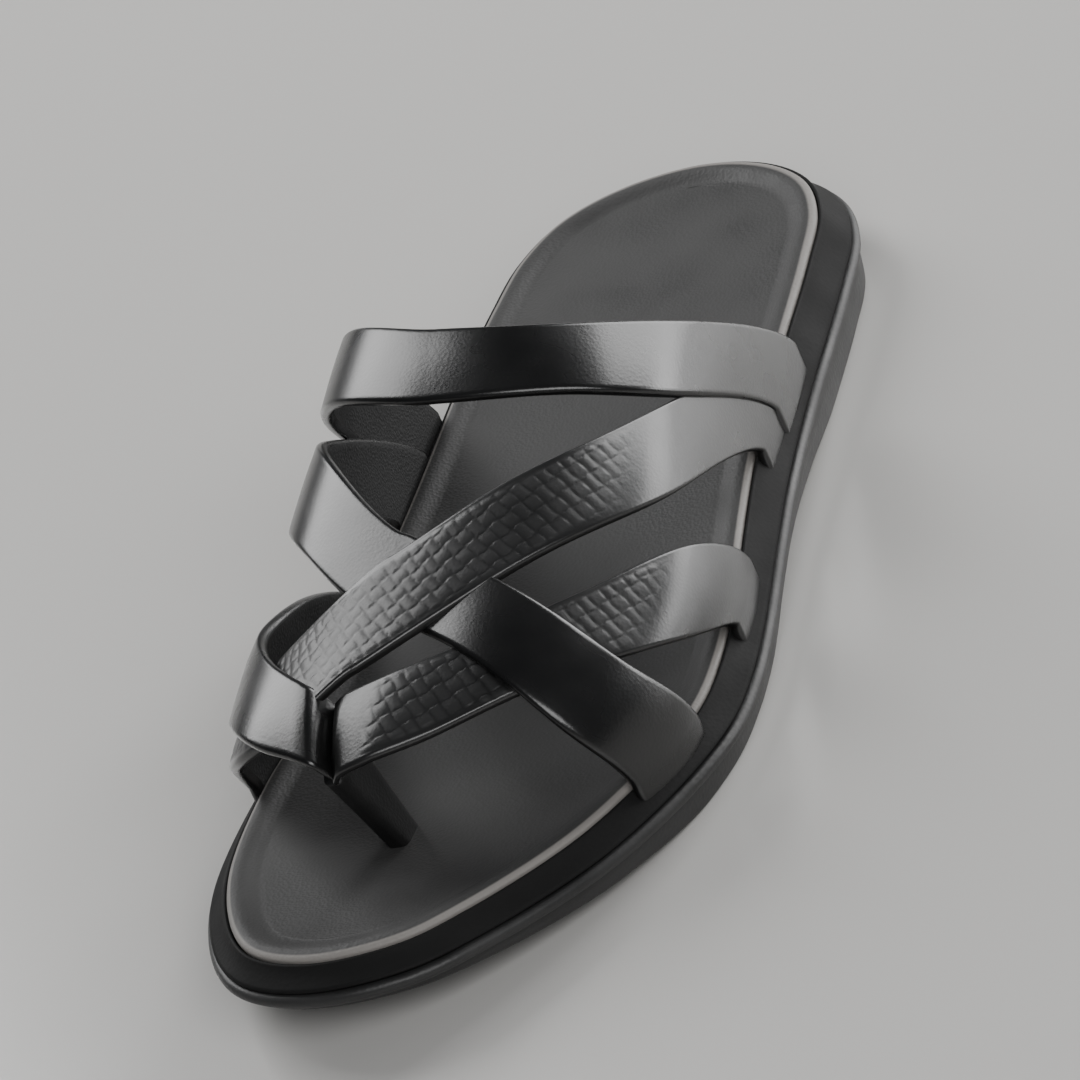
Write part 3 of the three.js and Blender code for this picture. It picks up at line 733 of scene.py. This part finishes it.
midsole_profile = [
    (WALL_FOOT_OUT - WALL_ROUND, wall_foot_at),
    (WALL_FOOT_OUT - WALL_LIP, lambda t: wall_foot_at(t) + WALL_ROUND / 4),
    (WALL_FOOT_OUT, lambda t: wall_foot_at(t) + WALL_ROUND),
    *[wall_ring(level) for level in WALL_LEVELS],
    (WALL_TOP_OUT + WALL_LIP, lambda t: wall_top_at(t) - WALL_LIP),
    (WALL_TOP_OUT - 2 * WALL_LIP, wall_top_at),
    (GAP, lambda t: wall_top_at(t) - WALL_LIP),
    (GAP, bed_floor_at)]
midsole = sole_body("midsole_wall", midsole_profile, stations=220, columns=16)
dress(midsole, "midsole", "midsole", wall_rubber)


# Footbed


def bed_dish(along, across):
    """Hollow of the bed: deepest between the borders, fading out smoothly at heel and toe."""
    fade = np.clip(np.minimum(along, 1 - along) / BED_FADE, 0, 1)
    return -BED_DISH * (1 - across**4) * fade**2 * (3 - 2 * fade)


def border_points():
    """Profile of the raised border as (distance outside the outline, height above the rim).

    An upright side, a quarter ellipse for the nose and half a cosine wave for the slope down to the bed.
    """
    nose = np.radians(np.linspace(0, 90, NOSE_POINTS))
    slope = np.linspace(0, 1, SLOPE_POINTS)[1:]
    out = np.concatenate([[0.0], -NOSE_WIDE * (1 - np.cos(nose)), -NOSE_WIDE - SLOPE_WIDE * slope])
    height = np.concatenate([
        [-BORDER_DEEP], -NOSE_HIGH * (1 - np.sin(nose)), -SLOPE_HIGH * (0.5 - 0.5 * np.cos(np.pi * slope))])
    return zip(out, height)


footbed_profile = [
    (-GAP, lambda t: bed_floor_at(t) + GAP),
    *[(out, lambda t, height=height: rim_at(t) + height) for out, height in border_points()]]
footbed = sole_body("footbed_cover", footbed_profile, stations=260, columns=60, dish_top=bed_dish)
dress(footbed, "footbed", "footbed", bed_leather)


# Toe post


def toe_post():
    """Rounded levels from the tray's floor up to the groove, wide lengthways at the top, narrow at the foot.

    Each level is a superellipse; its middle moves in a straight line, back and outward toward the foot.
    """
    turn = GROOVE_TURN * np.array([-0.5, 0.5])
    ends = form_point(GROOVE_AROUND + turn, np.array([GROOVE_REAR, GROOVE_FRONT]))
    slope = (ends[1, 2] - ends[0, 2]) / (ends[1, 1] - ends[0, 1])
    top = ends.mean(0) + POST_BACK * np.array([0, 1, slope])
    floor_z = bed_floor_at((-top[1] - POST_RAKE + POST_FOOT_WIDE / 2) / BED) + GAP
    top_z = top[2] - (GROOVE_DIP + STRAP / 2) * math.hypot(1, slope) + POST_OVERLAP
    share = np.linspace(0, 1, POST_LEVELS)[:, None]
    angle = np.radians(np.linspace(0, 360, POST_SIDES, endpoint=False))[None]
    wide = (POST_FOOT_WIDE + (POST_TOP_WIDE - POST_FOOT_WIDE) * share) / 2
    across = np.sign(np.cos(angle)) * np.abs(np.cos(angle)) ** (2 / POST_POWER) * POST_THICK / 2
    lengthways = np.sign(np.sin(angle)) * np.abs(np.sin(angle)) ** (2 / POST_POWER) * wide
    points = np.stack(np.broadcast_arrays(
        top[0] + POST_LEAN * (1 - share) + across, top[1] + POST_RAKE * (1 - share) + lengthways,
        floor_z + share * (top_z + slope * lengthways - floor_z)), -1)
    return make_object("toe_post_leather", points.reshape(-1, 3), closed_tube_faces(POST_LEVELS, POST_SIDES))


dress(toe_post(), "toe_post", "post_leather", post_leather)


# Straps

PLAIN_STRAPS = {
    "strap_instep": INSTEP_BAND, "strap_cross": CROSS_BAND, "strap_front_inner": FRONT_INNER_ARM}
WOVEN_STRAPS = {
    "strap_diagonal": (DIAGONAL_BAND, DIAGONAL_EMBOSS, 9),
    "strap_front_outer": (FRONT_OUTER_ARM, FRONT_EMBOSS, 10)}
for strap_name, table in PLAIN_STRAPS.items():
    strap = strap_piece(strap_name, table, step=0.6, top_columns=29)
    dress(strap, "upper", "strap_leather", plain_leather, lining)
for strap_name, (table, emboss_table, weave_tilt) in WOVEN_STRAPS.items():
    strap = strap_piece(strap_name, table, step=0.3, top_columns=65, emboss=emboss_table, tilt=weave_tilt)
    dress(strap, "upper", "strap_leather", woven_leather, lining)


# Floor, light and camera, in metres

FLOOR_REACH, FLOOR_ROUGH = 6, 0.22
FLOOR_COLOUR = (0.66, 0.65, 0.63, 1)
SKY_COLOUR = (0.9, 0.93, 1.0, 1)
SKY_STRENGTH = 0.07
# Where the lights point, and what the camera looks at
LIGHT_AIM = Vector((0.0, -0.02, 0.03))
TARGET = Vector((0.004, -0.012, 0.028))
# The photograph's viewing angle: right and up in its picture
VIEW_RIGHT = Vector((0.87973, 0.28877, -0.37774))
VIEW_UP = Vector((0.14384, 0.59559, 0.79031))
# Where the camera stands: millimetres to the right, up and back from a point on the floor under the toes
VIEW_START = np.array([0.0, -255.0, 0.0])
STEP_RIGHT, STEP_UP, STEP_BACK = -38.0, 105.3, 1618.2
SENSOR, LENS = 36.0, 268.0

floor_mesh = bpy.data.meshes.new("floor")
floor_corners = [(x * FLOOR_REACH, y * FLOOR_REACH, 0) for x, y in ((-1, -1), (1, -1), (1, 1), (-1, 1))]
floor_mesh.from_pydata(floor_corners, [], [(0, 1, 2, 3)])
floor = bpy.data.objects.new("floor", floor_mesh)
bpy.context.collection.objects.link(floor)
floor_material = bpy.data.materials.new("pale_floor")
floor_material.use_nodes = True
floor_shader = floor_material.node_tree.nodes["Principled BSDF"]
floor_shader.inputs["Base Color"].default_value = FLOOR_COLOUR
floor_shader.inputs["Roughness"].default_value = FLOOR_ROUGH
floor.data.materials.append(floor_material)

world = bpy.data.worlds.new("studio")
bpy.context.scene.world = world
world.use_nodes = True
background = world.node_tree.nodes["Background"]
background.inputs["Color"].default_value = SKY_COLOUR
background.inputs["Strength"].default_value = SKY_STRENGTH


def softbox(name, direction, distance, width, height, power):
    """A rectangular light that faces the slipper from a direction."""
    data = bpy.data.lights.new(name, "AREA")
    data.shape = "RECTANGLE"
    data.size, data.size_y = width, height
    data.energy = power
    light = bpy.data.objects.new(name, data)
    toward = Vector(direction).normalized()
    light.location = LIGHT_AIM + toward * distance
    light.visible_camera = False
    light.rotation_mode = "QUATERNION"
    light.rotation_quaternion = toward.to_track_quat("Z", "Y")
    bpy.context.collection.objects.link(light)


softbox("right_panel", direction=(0.409, 0.838, 0.362), distance=1.6, width=1.04, height=1.16, power=23)
softbox("low_panel", direction=(0.782, 0.611, 0.122), distance=1.6, width=0.62, height=0.4, power=5.2)
softbox("left_panel", direction=(-0.672, 0.437, 0.598), distance=1.5, width=0.7, height=1.12, power=14)
softbox("front_fill", direction=(0.45, -0.66, 0.60), distance=1.8, width=1.7, height=0.8, power=20)

view_back = VIEW_RIGHT.cross(VIEW_UP).normalized()
stand = (VIEW_START + STEP_RIGHT * np.array(VIEW_RIGHT) + STEP_UP * np.array(VIEW_UP)
         + STEP_BACK * np.array(view_back) + SHIFT) / MM_IN_M
back = (Vector(stand) - TARGET).normalized()
right = (VIEW_RIGHT - back * VIEW_RIGHT.dot(back)).normalized()
up = back.cross(right)
camera_data = bpy.data.cameras.new("camera")
camera_data.sensor_width = SENSOR
camera_data.lens = LENS
camera = bpy.data.objects.new("camera", camera_data)
bpy.context.collection.objects.link(camera)
camera.matrix_world = Matrix((
    (right.x, up.x, back.x, stand[0]), (right.y, up.y, back.y, stand[1]),
    (right.z, up.z, back.z, stand[2]), (0, 0, 0, 1)))
bpy.context.scene.camera = camera
